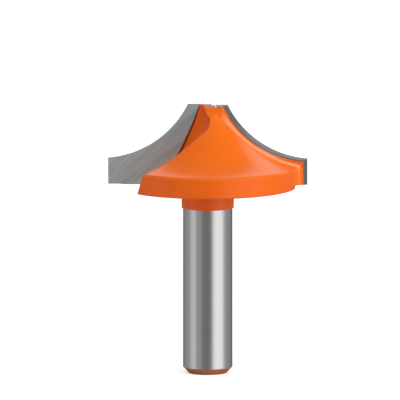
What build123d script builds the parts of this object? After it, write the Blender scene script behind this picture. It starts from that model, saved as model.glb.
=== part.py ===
from build123d import *
import math
import os

# A two-winged router bit with a chip-limiting body. It stands on the end of its shank: +Z runs from the shank
# to the cutting tip, the wings reach out along X, and the origin is the centre of the shank's end face.
# Seen from the tip it turns counterclockwise, so each rake face looks that way. Sizes are in millimetres.

# Shank and collar
shank_diameter = 12.7
shank_length = 42.8
shank_chamfer = 1.45
shank_chamfer_height = 1.6
collar_step = 0.37
collar_length = 5.3

# Chip limiter, the round disc that rises to the tip as a concave cone
limiter_diameter = 45.9
rim_height = 5.3
limiter_tip_diameter = 9.34
limiter_arc_radius = 28.5
rim_top_chamfer = 0.4
rim_bottom_chamfer = 0.3

# Cutting profile, in the plane of the rake face
cutting_diameter = 51.16
tip_diameter = 10.2
profile_radius = 25.0
profile_height = 13.95
edge_height = 6.8
foot_step = 0.7
rake_offset = 0.84

# Relief behind the cutting edges, in mm for each mm behind the rake face
radial_relief = 0.42
axial_relief = 0.17
end_relief = 0.15
foot_relief = 0.11

# Carbide tips and the braze that holds them
carbide_thickness = 2.0
carbide_root_at_tip = 1.45
carbide_root_at_foot = 12.4
carbide_root_radius = 87.0
braze_thickness = 0.12
steel_setback = 0.1

# Wing behind the carbide: a relieved land, then a steep flank that runs out into the limiter
land_depth = 4.0
land_edge_setback = 2.1
land_corner_drop = 1.45
land_tip_drop = 1.15
land_tip_setback = 1.45
land_arc_radius = 30.3
land_corner_rounding = 1.0
flank_depth = 1.2
flank_skew = 9.0
flank_edge_setback = 3.0
flank_corner_height = 2.5
flank_tip_drop = 8.05
flank_tip_setback = 2.65
flank_corner_rounding = 1.0
steel_corner_rounding = 0.25

# Point, a narrow land across the top and a steeper facet behind it. Its shapes are made with some stock on top,
# which the land and the facet then take off.
point_land = 1.25
point_slope = 0.62
point_skew = 12.0
point_stock = 0.5

# Gullets: a round-bottomed vee in front of each rake face. It follows the carbide's root up to a knee, and from
# there narrows through a shoulder to the tip.
gullet_opening = 38.5
gullet_radius = 4.95
gullet_knee_depth = 5.2
gullet_runout = 6.0
gullet_shoulder_depth = 2.95
gullet_shoulder_opening = 50.0
gullet_shoulder_radius = 4.15
gullet_tip_opening = 88.0
gullet_tip_radius = 0.3
gullet_tip_root = 1.34

# How far a cutting shape reaches past the metal that it removes
overrun = 2.0

shank_radius = shank_diameter / 2
collar_radius = shank_radius + collar_step
limiter_radius = limiter_diameter / 2
edge_radius = cutting_diameter / 2
tip_radius = tip_diameter / 2
limiter_bottom = shank_length + collar_length
foot = limiter_bottom + foot_step
corner_height = foot + edge_height
tip_height = corner_height + profile_height
wing_turns = {"right": 0, "left": 180}
braze_depth = carbide_thickness + braze_thickness

rim_top = limiter_bottom + rim_height
core_top = tip_height - steel_setback
core_tip_radius = limiter_tip_diameter / 2

# The point's two cuts on each side: its land and the facet behind. Each has the skew of its plane, the depth
# where it starts, its drop there below the top, and its slope.
point_cuts = (
    (0.0, 0.0, 0.0, end_relief),
    (point_skew, point_land, end_relief * point_land, point_slope),
)

# Centre of the cutting profile's arc
chord = Vector(edge_radius - tip_radius, corner_height - tip_height)
arc_rise = math.sqrt(profile_radius**2 - (chord.length / 2) ** 2)
arc_centre_out = (edge_radius + tip_radius) / 2 + profile_height / chord.length * arc_rise
arc_centre_up = (corner_height + tip_height) / 2 + (edge_radius - tip_radius) / chord.length * arc_rise
stock_radius = arc_centre_out - math.sqrt(profile_radius**2 - (arc_centre_up - tip_height - point_stock) ** 2)

# Centre of the arc that the carbide's inner edge and the bottom of the gullet follow
root_chord = Vector(carbide_root_at_foot - carbide_root_at_tip, foot - tip_height)
root_rise = math.sqrt(carbide_root_radius**2 - (root_chord.length / 2) ** 2)
root_centre_out = (carbide_root_at_foot + carbide_root_at_tip) / 2 - root_chord.Y / root_chord.length * root_rise
root_centre_up = (foot + tip_height) / 2 + root_chord.X / root_chord.length * root_rise
knee_height = tip_height - gullet_knee_depth
shoulder_height = tip_height - gullet_shoulder_depth
knee_angle = math.degrees(math.asin((root_centre_up - knee_height) / carbide_root_radius))
runout_angle = math.degrees(math.asin((root_centre_up - limiter_bottom + gullet_runout) / carbide_root_radius))


def rake_plane(turn, depth=0.0, skew=0.0):
    """The plane of a rake face, or one behind it: outward is its X, up its Y and away from the chip its Z.
    skew swings its outer side further back."""
    outward = Vector(1, 0, 0).rotate(Axis.Z, turn - skew)
    back = Vector(0, -1, 0).rotate(Axis.Z, turn - skew)
    middle = Vector(0, -rake_offset - depth, 0).rotate(Axis.Z, turn)
    return Plane(origin=middle, x_dir=outward, z_dir=back)


def level_plane(turn, height):
    """A level plane with outward along the wing as its X and the way the rake face looks as its Y."""
    outward = Vector(1, 0, 0).rotate(Axis.Z, turn)
    return Plane(origin=(0, 0, height), x_dir=outward, z_dir=(0, 0, 1))


def side_plane(turn, outward, skew=0.0):
    """A plane across a wing, some way out along it, that looks inward: depth behind the rake face is its X and
    up its Y."""
    rake = rake_plane(turn, skew=skew)
    return Plane(origin=rake.origin + rake.x_dir * outward, x_dir=rake.z_dir, z_dir=-rake.x_dir)


def root_at(height):
    """How far out the carbide's inner edge is at some height."""
    return root_centre_out - math.sqrt(carbide_root_radius**2 - (root_centre_up - height) ** 2)


def relief_direction(turn):
    """The slanted way, back from the rake face, along which the cutting profile is relieved."""
    rake = rake_plane(turn)
    return rake.z_dir - rake.x_dir * radial_relief - rake.y_dir * axial_relief


def foot_direction(turn):
    """The way back from the rake face along the relieved underside of the wing."""
    rake = rake_plane(turn)
    return rake.z_dir + rake.y_dir * foot_relief


def wing_section(tip, edge, corner, arc_radius, bottom, rounding):
    """Section across a wing. tip is the outer end of its flat top, edge and corner its outer edge and the
    height of that edge."""
    with BuildSketch() as section:
        with BuildLine():
            Polyline((-gullet_tip_root, tip[1]), (-gullet_tip_root, bottom), (edge, bottom), (edge, corner))
            RadiusArc((edge, corner), tip, arc_radius)
            Line(tip, (-gullet_tip_root, tip[1]))
        make_face()
        outer_corner = section.vertices().group_by(Axis.X)[-1].sort_by(Axis.Y)[-1]
        fillet(outer_corner, rounding)
    return section.sketch


def relieved_section(depth, setback, rounding):
    """The cutting profile moved back, in and down by its relief at some depth behind the rake face."""
    inward = setback + radial_relief * depth
    down = setback + axial_relief * depth
    return wing_section(
        (stock_radius - inward, tip_height + point_stock - down),
        edge_radius - inward,
        corner_height - down,
        profile_radius,
        foot + foot_relief * depth,
        rounding,
    )


def cutting_profile(setback):
    """The cutting profile itself, with the point's stock on top. It is carried past the foot, so that the relief
    leaves the foot alone."""
    with BuildSketch() as profile:
        with BuildLine():
            Polyline(
                (stock_radius - setback, tip_height + point_stock - setback),
                (0, tip_height + point_stock - setback),
                (0, foot - overrun),
                (edge_radius - setback, foot - overrun),
                (edge_radius - setback, corner_height - setback),
            )
            RadiusArc(
                (edge_radius - setback, corner_height - setback),
                (stock_radius - setback, tip_height + point_stock - setback),
                profile_radius,
            )
        make_face()
    return profile.sketch


def plate_outline(gap, bottom):
    """Outline of the carbide plate in the rake plane, open past the cutting profile on its outer side."""
    with BuildSketch() as plate:
        with BuildLine():
            RadiusArc(
                (carbide_root_at_foot - gap, bottom),
                (carbide_root_at_tip - gap, tip_height + overrun),
                carbide_root_radius,
            )
            Polyline(
                (carbide_root_at_tip - gap, tip_height + overrun),
                (edge_radius + overrun, tip_height + overrun),
                (edge_radius + overrun, bottom),
                (carbide_root_at_foot - gap, bottom),
            )
        make_face()
    return plate.sketch


def above_slope(start, height, slope):
    """All that is above a surface which falls away behind some depth. Depth is across and height is up."""
    with BuildSketch() as above:
        with BuildLine():
            Polyline(
                (start, height),
                (edge_radius, height - slope * (edge_radius - start)),
                (edge_radius, tip_height + overrun),
                (start, tip_height + overrun),
                close=True,
            )
        make_face()
    return above.sketch


def gullet_section(root, radius, opening):
    """Level section of a gullet: one side lies along the rake face, the other opens away from it."""
    reach = 2 * edge_radius
    apex = root - radius / math.tan(math.radians(opening / 2))
    with BuildSketch() as section:
        with BuildLine():
            Polyline(
                (apex, -rake_offset),
                (apex + reach, -rake_offset),
                (
                    apex + reach * math.cos(math.radians(opening)),
                    -rake_offset + reach * math.sin(math.radians(opening)),
                ),
                close=True,
            )
        make_face()
        fillet(section.vertices().sort_by(Axis.X)[0], radius)
    return section.sketch


with BuildPart() as cutter_body:
    # Shank, collar and limiter, turned as one
    with BuildSketch(Plane.XZ) as turned:
        with BuildLine():
            Polyline(
                (0, core_top),
                (0, 0),
                (shank_radius - shank_chamfer, 0),
                (shank_radius, shank_chamfer_height),
                (shank_radius, shank_length),
                (collar_radius, shank_length),
                (collar_radius, limiter_bottom),
                (limiter_radius, limiter_bottom),
                (limiter_radius, rim_top),
            )
            RadiusArc((limiter_radius, rim_top), (core_tip_radius, core_top), limiter_arc_radius)
            Line((core_tip_radius, core_top), (0, core_top))
        make_face()
        rim_corners = turned.vertices().group_by(Axis.X)[-1].sort_by(Axis.Y)
        chamfer(rim_corners[0], rim_bottom_chamfer)
        chamfer(rim_corners[1], rim_top_chamfer)
    revolve(axis=Axis.Z)

    # Wings, each a run of sections from the rake face back
    for turn in wing_turns.values():
        with BuildSketch(rake_plane(turn)):
            add(relieved_section(0.0, steel_setback, steel_corner_rounding))
        with BuildSketch(rake_plane(turn, braze_depth)):
            add(relieved_section(braze_depth, steel_setback, steel_corner_rounding))
        with BuildSketch(rake_plane(turn, land_depth)):
            add(
                wing_section(
                    (tip_radius - land_tip_setback, tip_height - land_tip_drop),
                    edge_radius - land_edge_setback,
                    corner_height - land_corner_drop,
                    land_arc_radius,
                    foot + foot_relief * land_depth,
                    land_corner_rounding,
                )
            )
        with BuildSketch(rake_plane(turn, land_depth + flank_depth, flank_skew)):
            add(
                wing_section(
                    (tip_radius - flank_tip_setback, tip_height - flank_tip_drop),
                    edge_radius - land_edge_setback - flank_edge_setback,
                    foot + flank_corner_height,
                    land_arc_radius,
                    foot + foot_relief * land_depth,
                    flank_corner_rounding,
                )
            )
        loft(ruled=True)

    # Point on each side: its land, then the facet behind it
    for turn in wing_turns.values():
        for skew, start, drop, slope in point_cuts:
            with BuildSketch(side_plane(turn, edge_radius, skew)):
                add(above_slope(start, core_top - drop, slope))
            extrude(amount=2 * edge_radius, mode=Mode.SUBTRACT)

    # Clearance under each wing, as deep as its land
    for turn in wing_turns.values():
        with BuildSketch(side_plane(turn, edge_radius)):
            with BuildLine():
                Polyline(
                    (0, foot),
                    (land_depth, foot + foot_relief * land_depth),
                    (land_depth, limiter_bottom - overrun),
                    (0, limiter_bottom - overrun),
                    close=True,
                )
            make_face()
        extrude(amount=edge_radius - carbide_root_at_foot, mode=Mode.SUBTRACT)

    # Gullets in front of the rake faces
    for turn in wing_turns.values():
        rake = rake_plane(turn)
        root_axis = Axis(
            rake.origin + rake.x_dir * root_centre_out + rake.y_dir * root_centre_up,
            rake.z_dir,
        )
        with BuildSketch(level_plane(turn, knee_height)):
            add(gullet_section(root_at(knee_height), gullet_radius, gullet_opening))
        revolve(axis=root_axis, revolution_arc=runout_angle - knee_angle, mode=Mode.SUBTRACT)
        with BuildSketch(level_plane(turn, knee_height)):
            add(gullet_section(root_at(knee_height), gullet_radius, gullet_opening))
        with BuildSketch(level_plane(turn, shoulder_height)):
            add(gullet_section(root_at(shoulder_height), gullet_shoulder_radius, gullet_shoulder_opening))
        with BuildSketch(level_plane(turn, tip_height)):
            add(gullet_section(gullet_tip_root, gullet_tip_radius, gullet_tip_opening))
        loft(ruled=True, mode=Mode.SUBTRACT)

    # Seats for the carbide tips, open at the foot
    for turn in wing_turns.values():
        with BuildSketch(rake_plane(turn)):
            add(plate_outline(braze_thickness, limiter_bottom - overrun))
        seat = foot_direction(turn)
        extrude(amount=braze_depth * seat.length, dir=seat, mode=Mode.SUBTRACT)

cutter_body.part.label = "cutter_body"

os.makedirs("parts", exist_ok=True)
export_step(cutter_body.part, "parts/cutter_body.step")

for side, turn in wing_turns.items():
    back = relief_direction(turn)
    along_foot = foot_direction(turn)

    with BuildPart() as carbide_tip:
        with BuildSketch(rake_plane(turn)):
            add(cutting_profile(0.0))
        extrude(amount=carbide_thickness * back.length, dir=back)
        with BuildSketch(rake_plane(turn)):
            add(plate_outline(0.0, foot))
        extrude(amount=carbide_thickness * along_foot.length, dir=along_foot, mode=Mode.INTERSECT)
        for skew, start, drop, slope in point_cuts:
            with BuildSketch(side_plane(turn, edge_radius, skew)):
                add(above_slope(start, tip_height - drop, slope))
            extrude(amount=2 * edge_radius, mode=Mode.SUBTRACT)
    carbide_tip.part.label = f"{side}_carbide_tip"
    export_step(carbide_tip.part, f"parts/{side}_carbide_tip.step")

    with BuildPart() as braze_joint:
        with BuildSketch(rake_plane(turn)):
            add(plate_outline(braze_thickness, foot))
        extrude(amount=braze_depth * along_foot.length, dir=along_foot)
        with BuildSketch(rake_plane(turn)):
            add(plate_outline(0.0, foot))
        extrude(amount=carbide_thickness * along_foot.length, dir=along_foot, mode=Mode.SUBTRACT)
        with BuildSketch(rake_plane(turn)):
            add(cutting_profile(steel_setback))
        extrude(amount=braze_depth * back.length, dir=back, mode=Mode.INTERSECT)
        for skew, start, drop, slope in point_cuts:
            with BuildSketch(side_plane(turn, edge_radius, skew)):
                add(above_slope(start, core_top - drop, slope))
            extrude(amount=2 * edge_radius, mode=Mode.SUBTRACT)
    braze_joint.part.label = f"{side}_braze_joint"
    export_step(braze_joint.part, f"parts/{side}_braze_joint.step")
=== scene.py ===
import math

import bmesh
import bpy
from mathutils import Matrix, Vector


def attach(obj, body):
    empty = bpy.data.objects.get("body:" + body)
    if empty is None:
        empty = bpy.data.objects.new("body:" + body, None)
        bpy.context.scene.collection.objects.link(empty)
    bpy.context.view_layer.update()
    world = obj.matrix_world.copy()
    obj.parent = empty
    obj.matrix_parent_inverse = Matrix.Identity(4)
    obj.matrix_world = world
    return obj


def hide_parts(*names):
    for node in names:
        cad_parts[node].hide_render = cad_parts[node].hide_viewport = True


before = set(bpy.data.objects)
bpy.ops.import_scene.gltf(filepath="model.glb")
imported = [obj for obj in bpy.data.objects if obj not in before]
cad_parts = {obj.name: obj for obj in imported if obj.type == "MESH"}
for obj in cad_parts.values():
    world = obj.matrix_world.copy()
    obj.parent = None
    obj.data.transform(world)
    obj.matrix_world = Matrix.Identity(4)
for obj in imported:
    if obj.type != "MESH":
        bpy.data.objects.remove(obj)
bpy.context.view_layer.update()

scene = bpy.context.scene
scene.view_settings.view_transform = "Standard"

MM = 0.001

# The photo: 400 pixels across, 3.8945 of them to a millimetre, seen 8.15 degrees from above.
# The shank's axis is on this column, and the middle of its end face on this row.
PIXELS_PER_M = 3894.5
IMAGE_PIXELS = 400
CAMERA_RISE = math.radians(8.15)
AXIS_COLUMN = 207.73
BASE_ROW = 372.3

# The bare barrel of the shank, the collar above it, and the flat point
BARREL_BOTTOM = 1.6 * MM
BARREL_TOP = 42.8 * MM
BARREL_RADIUS = 6.35 * MM
COLLAR_RADIUS = 6.72 * MM
POINT_LEVEL = 69 * MM
POINT_REACH = 3.9 * MM
POINT_FACING = 0.93

# The rake faces lie this far from the middle plane. The carbide has a faint cool tint from the
# heat of brazing, deepest nearest the axis.
RAKE_DEPTH = 0.84 * MM
HEAT_TINT = (0.93, 1.08, 1.11)
HEAT_TINT_START = 22 * MM
HEAT_TINT_END = 9 * MM

# Each wing's ridge, between its land and its flank, lies this far from the middle plane. Its
# pale line is a painted highlight that fades out below the point, and is fainter down the
# upright edge.
RIDGE_DEPTH = 4.84 * MM
FLANK_END = 10 * MM
RIDGE_FADE_START = 65.5 * MM
RIDGE_FADE_END = 68 * MM
RIDGE_CORNER = 53.9 * MM
RIDGE_CORNER_END = 52.7 * MM
UPRIGHT_FADE = 0.65

# The facet behind the point, which belongs to the wing but has the body's coat
FACET_LEVEL = 66 * MM
FACET_FACING = 0.7

# The limiter's hollow top is an arc turned about the axis, over a straight rim.
LIMITER_ARC_CENTRE = (30.81 * MM, 80.81 * MM)
LIMITER_ARC_RADIUS = 28.5 * MM
LIMITER_RADIUS = 22.95 * MM
RIM_TOP = 53.4 * MM
RIM_BOTTOM = 48.1 * MM
RIM_CHAMFER = 0.4 * MM

# How near a face's middle is to a surface that it belongs to
NEAR_CURVE = 0.1 * MM
NEAR_ROUND = 0.08 * MM
NEAR_PLANE = 0.01 * MM

# An upright face's normal rises or falls by less than this.
UPRIGHT_FACING = 0.1

# Edges that turn by more than this stay creases, and a fine rounding is shaded over them.
CREASE = math.radians(24)

# The noise on a surface is nearly all between these.
NOISE_LOW = 0.3
NOISE_HIGH = 0.7

# The wing's coat by its distance in mm behind the ridge, where less than nothing is the land
# The deeper colours on the land are painted shade, and the pale ones at the ridge are a painted
# highlight.
WING_SHADE_AND_HIGHLIGHT_COLOURS = [
    (-1.6, (0.72, 0.095, 0.0)),
    (-0.7, (0.78, 0.112, 0.0)),
    (-0.2, (1.0, 0.33, 0.14)),
    (0.15, (1.0, 0.31, 0.12)),
    (0.6, (0.87, 0.15, 0.005)),
]
PLAIN_WING = (0.88, 0.146, 0.0)

# How much redder the coat is painted on the limiter's rim and the collar, as painted shade on
# these upright faces
UPRIGHT_PAINTED_SHADE = 0.018

# The body's finishes and the carbide's, by their index on a face
COAT, BARREL, DUSTED_AND_SHADED_END, POINT, WINGS, UPRIGHT = range(6)
RAKE, RELIEF, CARBIDE_POINT = range(3)


def set_stops(ramp, stops):
    """Give a ramp its colours, each at a place from nought to one."""
    elements = ramp.color_ramp.elements
    while len(elements) < len(stops):
        elements.new(0.5)
    for element, (place, colour) in zip(elements, stops):
        element.position = place
        element.color = (*colour, 1)


class Finish:
    """A material whose nodes are added one by one."""

    def __init__(self, name):
        self.material = bpy.data.materials.new(name)
        self.material.use_nodes = True
        self.tree = self.material.node_tree
        self.shader = self.tree.nodes["Principled BSDF"]
        self.place = self.add("ShaderNodeTexCoord").outputs["Object"]

    def add(self, kind, **settings):
        node = self.tree.nodes.new(kind)
        for key, value in settings.items():
            setattr(node, key, value)
        return node

    def link(self, source, target):
        self.tree.links.new(source, target)

    def axes(self):
        """The place's own X, Y and Z."""
        split = self.add("ShaderNodeSeparateXYZ")
        self.link(self.place, split.inputs["Vector"])
        return split.outputs

    def size_of(self, value):
        """The value without its sign."""
        size = self.add("ShaderNodeMath", operation="ABSOLUTE")
        self.link(value, size.inputs[0])
        return size.outputs[0]

    def share(self, value, start, end, low=0.0, high=1.0):
        """From low at the start to high at the end, and level beyond both."""
        span = self.add("ShaderNodeMapRange")
        span.inputs["From Min"].default_value = start
        span.inputs["From Max"].default_value = end
        span.inputs["To Min"].default_value = low
        span.inputs["To Max"].default_value = high
        self.link(value, span.inputs["Value"])
        return span.outputs["Result"]

    def stretched(self, turn, grain_mm):
        """The place in grains of three lengths, along axes turned by degrees about Y."""
        turned = self.add("ShaderNodeMapping", vector_type="TEXTURE")
        turned.inputs["Rotation"].default_value = (0, math.radians(turn), 0)
        turned.inputs["Scale"].default_value = [length * MM for length in grain_mm]
        self.link(self.place, turned.inputs["Vector"])
        return turned.outputs["Vector"]

    def noise(self, scale, detail, place=None):
        grain = self.add("ShaderNodeTexNoise")
        grain.inputs["Scale"].default_value = scale
        grain.inputs["Detail"].default_value = detail
        self.link(place or self.place, grain.inputs["Vector"])
        return grain.outputs["Fac"]

    def ramp(self, factor, stops):
        ramp = self.add("ShaderNodeValToRGB")
        set_stops(ramp, stops)
        self.link(factor, ramp.inputs["Fac"])
        return ramp.outputs["Color"]

    def blended(self, factor, colour, other, **settings):
        """A colour that gives way to another one as the factor grows."""
        blend = self.add("ShaderNodeMix", data_type="RGBA", **settings)
        self.link(factor, blend.inputs["Factor"])
        self.link(colour, blend.inputs["A"])
        blend.inputs["B"].default_value = (*other, 1)
        return blend.outputs["Result"]

    def colour(self, source):
        self.link(source, self.shader.inputs["Base Color"])

    def mottled(self, factor, low, high):
        """Two near colours that the noise moves between."""
        return self.ramp(factor, [(NOISE_LOW, low), (NOISE_HIGH, high)])

    def roughness(self, factor, low, high):
        level = self.share(factor, NOISE_LOW, NOISE_HIGH, low, high)
        self.link(level, self.shader.inputs["Roughness"])

    def relief(self, factor, depth, rounding):
        """A fine relief of the given depth over edges rounded by a radius, both in metres."""
        edge = self.add("ShaderNodeBevel", samples=8)
        edge.inputs["Radius"].default_value = rounding
        bump = self.add("ShaderNodeBump")
        bump.inputs["Strength"].default_value = 1.0
        bump.inputs["Distance"].default_value = depth
        self.link(factor, bump.inputs["Height"])
        self.link(edge.outputs["Normal"], bump.inputs["Normal"])
        self.link(bump.outputs["Normal"], self.shader.inputs["Normal"])


def glossy_coat(name):
    """Smooth glossy non-stick coat with a faint orange-peel surface, still without a colour."""
    finish = Finish(name)
    finish.shader.inputs["IOR"].default_value = 1.43
    finish.roughness(finish.noise(260, 3), 0.17, 0.23)
    finish.relief(finish.noise(1500, 1), 0.003 * MM, 0.45 * MM)
    return finish


def orange_coat(name, depth=0.0):
    """The coat's orange, which depth makes redder. On upright faces this redder colour is
    painted shade.
    """
    finish = glossy_coat(name)
    low = (0.86, 0.142 - depth, 0.0)
    high = (0.9, 0.154 - depth, 0.001)
    finish.colour(finish.mottled(finish.noise(140, 3), low, high))
    return finish.material


def wing_coat_painted_light():
    """The same coat on a wing, with painted shade deepening the land and a painted highlight
    along the ridge.
    """
    finish = glossy_coat("wing_coat_painted_light")
    place = finish.axes()
    span = 2 * RIDGE_DEPTH
    stops = [((RIDGE_DEPTH + behind * MM) / span, colour) for behind, colour in WING_SHADE_AND_HIGHLIGHT_COLOURS]
    across = finish.ramp(finish.share(finish.size_of(place["Y"]), 0.0, span), stops)
    # The painted highlight gives way to the plain coat near the point, and partly down the
    # upright edge.
    near_point = finish.share(place["Z"], RIDGE_FADE_START, RIDGE_FADE_END)
    upright = finish.share(place["Z"], RIDGE_CORNER, RIDGE_CORNER_END, high=UPRIGHT_FADE)
    faded = finish.add("ShaderNodeMath", operation="MAXIMUM")
    finish.link(near_point, faded.inputs[0])
    finish.link(upright, faded.inputs[1])
    finish.colour(finish.blended(faded.outputs[0], across, PLAIN_WING))
    return finish.material


def dusted_coat_painted_shade():
    """Copper brown where the coat is only dusted over the shank's end, made darker by painted
    shade on this downward face.
    """
    finish = Finish("dusted_coat_painted_shade")
    grain = finish.noise(500, 3)
    finish.colour(finish.mottled(grain, (0.46, 0.13, 0.038), (0.53, 0.155, 0.048)))
    finish.roughness(finish.noise(900, 3), 0.25, 0.35)
    finish.relief(finish.noise(1500, 2), 0.004 * MM, 0.2 * MM)
    return finish.material


def rubbed_point():
    """The flat point, ground after the coat, so only a pale trace of it is left."""
    finish = Finish("rubbed_point")
    lines = finish.noise(1, 3, finish.stretched(0, (4, 0.15, 4)))
    finish.colour(finish.mottled(lines, (0.4, 0.225, 0.15), (0.48, 0.285, 0.2)))
    finish.roughness(lines, 0.45, 0.6)
    finish.relief(lines, 0.001 * MM, 0.08 * MM)
    return finish.material


def ground_steel():
    """Bare steel with fine lines round the bar from cylindrical grinding."""
    finish = Finish("ground_steel")
    finish.shader.inputs["Metallic"].default_value = 1.0
    lines = finish.noise(1, 3, finish.stretched(0, (17, 17, 0.11)))
    finish.colour(finish.mottled(lines, (0.74, 0.74, 0.735), (0.78, 0.78, 0.775)))
    finish.roughness(lines, 0.2, 0.27)
    finish.relief(lines, 0.0004 * MM, 0.1 * MM)
    return finish.material


def rake_carbide():
    """Pale ground carbide with slanted lines from the grinding wheel."""
    finish = Finish("rake_carbide")
    finish.shader.inputs["Metallic"].default_value = 0.5
    lines = finish.noise(1, 4, finish.stretched(-42, (9, 2, 0.32)))
    ground = finish.mottled(lines, (0.42, 0.46, 0.46), (0.57, 0.615, 0.615))
    heat = finish.share(finish.size_of(finish.axes()["X"]), HEAT_TINT_START, HEAT_TINT_END)
    finish.colour(finish.blended(heat, ground, HEAT_TINT, blend_type="MULTIPLY"))
    finish.roughness(lines, 0.38, 0.48)
    finish.relief(lines, 0.001 * MM, 0.06 * MM)
    return finish.material


def relief_carbide_painted_shade():
    """Carbide on the finely ground faces behind the edges, made darker than the rake by painted
    shade.
    """
    finish = Finish("relief_carbide_painted_shade")
    finish.shader.inputs["Metallic"].default_value = 0.7
    lines = finish.noise(1, 3, finish.stretched(0, (6, 0.09, 6)))
    finish.colour(finish.mottled(lines, (0.2, 0.2, 0.195), (0.28, 0.278, 0.27)))
    finish.roughness(lines, 0.34, 0.44)
    finish.relief(lines, 0.0008 * MM, 0.06 * MM)
    return finish.material


def silver_braze():
    """Dull uneven line of brazing metal."""
    finish = Finish("silver_braze")
    finish.shader.inputs["Metallic"].default_value = 0.7
    grain = finish.noise(1800, 3)
    finish.colour(finish.mottled(grain, (0.34, 0.24, 0.15), (0.5, 0.38, 0.26)))
    finish.roughness(grain, 0.4, 0.55)
    finish.relief(grain, 0.004 * MM, 0.05 * MM)
    return finish.material


def is_point(face):
    centre = face.calc_center_median()
    faces_up = face.normal.z > POINT_FACING
    return centre.z > POINT_LEVEL and faces_up and abs(centre.x) < POINT_REACH


def is_on_round(out, radius):
    return abs(out - radius) < NEAR_ROUND


def is_on_limiter(out, height):
    from_arc = math.dist((out, height), LIMITER_ARC_CENTRE) - LIMITER_ARC_RADIUS
    from_rim = out - LIMITER_RADIUS
    from_chamfer = out + height - LIMITER_RADIUS - RIM_TOP + RIM_CHAMFER
    return min(abs(from_arc), abs(from_rim), abs(from_chamfer)) < NEAR_CURVE


def is_wing(face):
    """True on a wing's land and flank, and not on its point, gullet or underside."""
    centre = face.calc_center_median()
    out = math.hypot(centre.x, centre.y)
    behind_rake = RAKE_DEPTH + NEAR_CURVE < abs(centre.y) < FLANK_END
    on_wing_side = centre.x * centre.y < 0
    faces_out = centre.x * face.normal.x > 0 and face.normal.z > -UPRIGHT_FACING
    on_facet = centre.z > FACET_LEVEL and face.normal.z > FACET_FACING
    above_foot = centre.z > RIM_BOTTOM + RIM_CHAMFER
    return (
        behind_rake and on_wing_side and faces_out and above_foot
        and not on_facet and not is_on_limiter(out, centre.z)
    )


def body_finish(face):
    """Which of the body's finishes a face has."""
    centre = face.calc_center_median()
    out = math.hypot(centre.x, centre.y)
    upright = abs(face.normal.z) < UPRIGHT_FACING
    if is_point(face):
        return POINT
    if centre.z < BARREL_BOTTOM:
        return DUSTED_AND_SHADED_END
    if is_wing(face):
        return WINGS
    if upright and (is_on_round(out, LIMITER_RADIUS) or is_on_round(out, COLLAR_RADIUS)):
        return UPRIGHT
    if upright and centre.z < BARREL_TOP and is_on_round(out, BARREL_RADIUS):
        return BARREL
    return COAT


def tip_finish(face):
    """Which of the carbide's finishes a face has."""
    if is_point(face):
        return CARBIDE_POINT
    in_front = abs(face.calc_center_median().y) < RAKE_DEPTH + NEAR_PLANE
    return RAKE if in_front else RELIEF


def braze_finish(face):
    """The braze has one finish."""
    return 0


def smooth_copy(node_name, name, materials, finish_of, cuts=()):
    """The node's own triangles joined at their corners and shaded smooth, to stand in for it.
    They are cut first across each of the places along X, so that two finishes meet there."""
    shape = bmesh.new()
    shape.from_mesh(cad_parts[node_name].data)
    bmesh.ops.remove_doubles(shape, verts=shape.verts, dist=0.001 * MM)
    for place in cuts:
        parts = list(shape.verts) + list(shape.edges) + list(shape.faces)
        bmesh.ops.bisect_plane(shape, geom=parts, plane_co=(place, 0, 0), plane_no=(1, 0, 0))
    for edge in shape.edges:
        edge.smooth = len(edge.link_faces) == 2 and edge.calc_face_angle(0) < CREASE
    for face in shape.faces:
        face.smooth = True
        face.material_index = finish_of(face)
    mesh = bpy.data.meshes.new(name)
    shape.to_mesh(mesh)
    shape.free()
    for material in materials:
        mesh.materials.append(material)
    piece = bpy.data.objects.new(name, mesh)
    scene.collection.objects.link(piece)
    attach(piece, "root")
    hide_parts(node_name)


# The finishes are in the order of their indexes.
point = rubbed_point()
body_finishes = [
    orange_coat("orange_coat"), ground_steel(), dusted_coat_painted_shade(), point, wing_coat_painted_light(),
    # The same orange, with painted shade making it redder on the rim and the collar
    orange_coat("upright_coat_painted_shade", UPRIGHT_PAINTED_SHADE),
]
tip_finishes = [rake_carbide(), relief_carbide_painted_shade(), point]
braze = silver_braze()
point_ends = (-POINT_REACH, POINT_REACH)

smooth_copy("cutter_body", "coated_body", body_finishes, body_finish)
for side in ("left", "right"):
    smooth_copy(
        side + "_carbide_tip", side + "_ground_tip", tip_finishes, tip_finish,
        cuts=point_ends,
    )
for side in ("left", "right"):
    smooth_copy(side + "_braze_joint", side + "_braze_line", [braze], braze_finish)

# Camera, without perspective as in the photo
CAMERA_DISTANCE = 0.6
camera = bpy.data.objects.new("camera", bpy.data.cameras.new("camera"))
scene.collection.objects.link(camera)
scene.camera = camera
camera.data.type = "ORTHO"
camera.data.ortho_scale = IMAGE_PIXELS / PIXELS_PER_M
camera.data.clip_end = 10
camera.rotation_euler = (math.pi / 2 - CAMERA_RISE, 0, 0)
look = Vector((0, math.cos(CAMERA_RISE), -math.sin(CAMERA_RISE)))
up = Vector((0, math.sin(CAMERA_RISE), math.cos(CAMERA_RISE)))
sideways = Vector(((IMAGE_PIXELS / 2 - AXIS_COLUMN) / PIXELS_PER_M, 0, 0))
centre = sideways + up * ((BASE_ROW - IMAGE_PIXELS / 2) / PIXELS_PER_M)
camera.location = centre - look * CAMERA_DISTANCE

# World: a white backdrop, an even light, and for glossy surfaces the soft panels round the bit,
# each at its turn in degrees from the camera towards the right
PANELS = [
    (-180, 0.14), (-145, 0.14), (-137, 0.29), (-97, 0.32), (-88, 0.5), (-62, 0.7),
    (-56, 0.34), (-33, 0.34), (-26, 0.2), (-8, 0.175), (14, 0.18), (27, 0.78), (36, 1.04),
    (70, 0.98), (84, 0.45), (98, 0.31), (137, 0.25), (145, 0.14), (180, 0.14),
]
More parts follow.
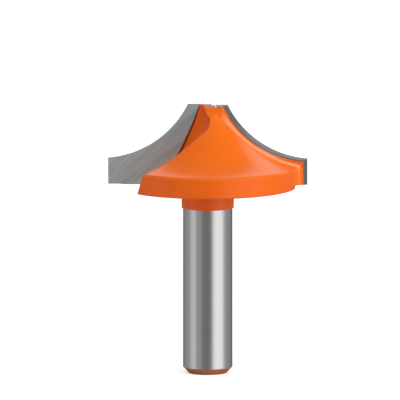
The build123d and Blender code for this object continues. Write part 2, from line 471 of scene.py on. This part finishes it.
# Above the panels there is the dim ceiling, and behind the bit a bright panel leans over it.
CEILING_RISE = 49.0
CEILING_SOFTNESS = 5.0
CEILING_LEVEL = 0.25
BACK_PANEL_BOTTOM = 24.0
BACK_PANEL_TOP = 45.0
BACK_PANEL_TURN = 132.0
BACK_PANEL_LEVEL = 1.15
PANEL_RISE_SOFTNESS = 2.0
PANEL_TURN_SOFTNESS = 4.0
AMBIENT = 0.42
BACKDROP = 1.0

world = bpy.data.worlds.new("world")
scene.world = world
world.use_nodes = True
tree = world.node_tree
tree.nodes.clear()


def fill(socket, value):
    """Link the value to the socket, or write it there."""
    if isinstance(value, bpy.types.NodeSocket):
        tree.links.new(value, socket)
    else:
        socket.default_value = value


def world_node(kind, *inputs, **settings):
    node = tree.nodes.new(kind)
    for key, value in settings.items():
        setattr(node, key, value)
    for socket, value in zip(node.inputs, inputs):
        fill(socket, value)
    return node


def worked_out(operation, *inputs):
    return world_node("ShaderNodeMath", *inputs, operation=operation).outputs[0]


def risen(value, level, softness):
    """Nothing below the level and one above it, with a soft step between."""
    step = world_node("ShaderNodeMapRange", value, level - softness, level + softness, 0.0, 1.0)
    return step.outputs["Result"]


def blended(factor, level, other):
    """A level that gives way to another one as the factor grows."""
    blend = world_node("ShaderNodeMix", data_type="FLOAT")
    fill(blend.inputs["Factor"], factor)
    fill(blend.inputs["A"], level)
    fill(blend.inputs["B"], other)
    return blend.outputs["Result"]


direction = world_node("ShaderNodeTexCoord").outputs["Generated"]
split = world_node("ShaderNodeSeparateXYZ", direction).outputs
towards_camera = worked_out("MULTIPLY", split["Y"], -1.0)
turn_of_ray = worked_out("DEGREES", worked_out("ARCTAN2", split["X"], towards_camera))
rise_of_ray = worked_out("DEGREES", worked_out("ARCSINE", split["Z"]))

panels = world_node(
    "ShaderNodeValToRGB", worked_out("ADD", worked_out("DIVIDE", turn_of_ray, 360.0), 0.5)
)
set_stops(panels, [((turn + 180) / 360, (level, level, level)) for turn, level in PANELS])

above = risen(rise_of_ray, CEILING_RISE, CEILING_SOFTNESS)
room = blended(above, panels.outputs["Color"], CEILING_LEVEL)
over_bottom = risen(rise_of_ray, BACK_PANEL_BOTTOM, PANEL_RISE_SOFTNESS)
over_top = risen(rise_of_ray, BACK_PANEL_TOP, PANEL_RISE_SOFTNESS)
behind = risen(worked_out("ABSOLUTE", turn_of_ray), BACK_PANEL_TURN, PANEL_TURN_SOFTNESS)
on_back_panel = worked_out("MULTIPLY", worked_out("SUBTRACT", over_bottom, over_top), behind)
seen = blended(on_back_panel, room, BACK_PANEL_LEVEL)

rays = world_node("ShaderNodeLightPath").outputs
lit = blended(rays["Is Diffuse Ray"], seen, AMBIENT)
background = world_node("ShaderNodeBackground")
fill(background.inputs["Color"], (1, 1, 1, 1))
fill(background.inputs["Strength"], blended(rays["Is Camera Ray"], lit, BACKDROP))
world_node("ShaderNodeOutputWorld", background.outputs["Background"])

# Lamps, aimed at the cutter from one metre away
AIM = Vector((0, 0, 0.05))
LAMP_DISTANCE = 1.0


def lamp(name, turn, rise, size, watts):
    """A soft square lamp. Its turn is measured from the camera towards the right, in degrees."""
    light = bpy.data.lights.new(name, "AREA")
    light.size = size
    light.energy = watts
    piece = bpy.data.objects.new(name, light)
    scene.collection.objects.link(piece)
    turn = math.radians(turn)
    rise = math.radians(rise)
    level_way = Vector((math.sin(turn), -math.cos(turn), 0))
    way = level_way * math.cos(rise) + Vector((0, 0, math.sin(rise)))
    piece.location = AIM + way * LAMP_DISTANCE
    piece.rotation_euler = way.to_track_quat("Z", "Y").to_euler()
    piece.visible_glossy = False


lamp("key", 66, 24, 0.6, 5.6)
lamp("fill", -5, 52, 0.9, 2.8)
lamp("top", 0, 88, 0.9, 0.6)
lamp("back", 190, 35, 0.9, 2.0)


# Floor, just under the shank's end, with the bit's soft shadow
PAPER_GLOW = 0.55
FLOOR_LEVEL = -0.02 * MM
FLOOR_REACH = 2.0


def pale_paper():
    """Paper that is white to the camera where it is fully lit, and clear from below, so that
    the underside can be seen."""
    paper = Finish("pale_paper")
    paper.colour(paper.mottled(paper.noise(30, 2), (0.74, 0.74, 0.74), (0.76, 0.76, 0.76)))
    paper.shader.inputs["Roughness"].default_value = 0.9
    paper.shader.inputs["Specular IOR Level"].default_value = 0.0
    glow = paper.add("ShaderNodeMath", operation="MULTIPLY")
    glow.inputs[1].default_value = PAPER_GLOW
    paper.link(paper.add("ShaderNodeLightPath").outputs["Is Camera Ray"], glow.inputs[0])
    paper.shader.inputs["Emission Color"].default_value = (1, 1, 1, 1)
    paper.link(glow.outputs[0], paper.shader.inputs["Emission Strength"])
    clear = paper.add("ShaderNodeBsdfTransparent")
    side = paper.add("ShaderNodeNewGeometry")
    sheet = paper.add("ShaderNodeMixShader")
    paper.link(side.outputs["Backfacing"], sheet.inputs["Fac"])
    paper.link(paper.shader.outputs["BSDF"], sheet.inputs[1])
    paper.link(clear.outputs["BSDF"], sheet.inputs[2])
    paper.link(sheet.outputs["Shader"], paper.tree.nodes["Material Output"].inputs["Surface"])
    return paper.material


corners = [(-1, -1), (1, -1), (1, 1), (-1, 1)]
floor_mesh = bpy.data.meshes.new("floor")
floor_mesh.from_pydata(
    [(x * FLOOR_REACH, y * FLOOR_REACH, FLOOR_LEVEL) for x, y in corners], [], [(0, 1, 2, 3)]
)
floor_mesh.materials.append(pale_paper())
floor = bpy.data.objects.new("floor", floor_mesh)
scene.collection.objects.link(floor)
floor.visible_glossy = False
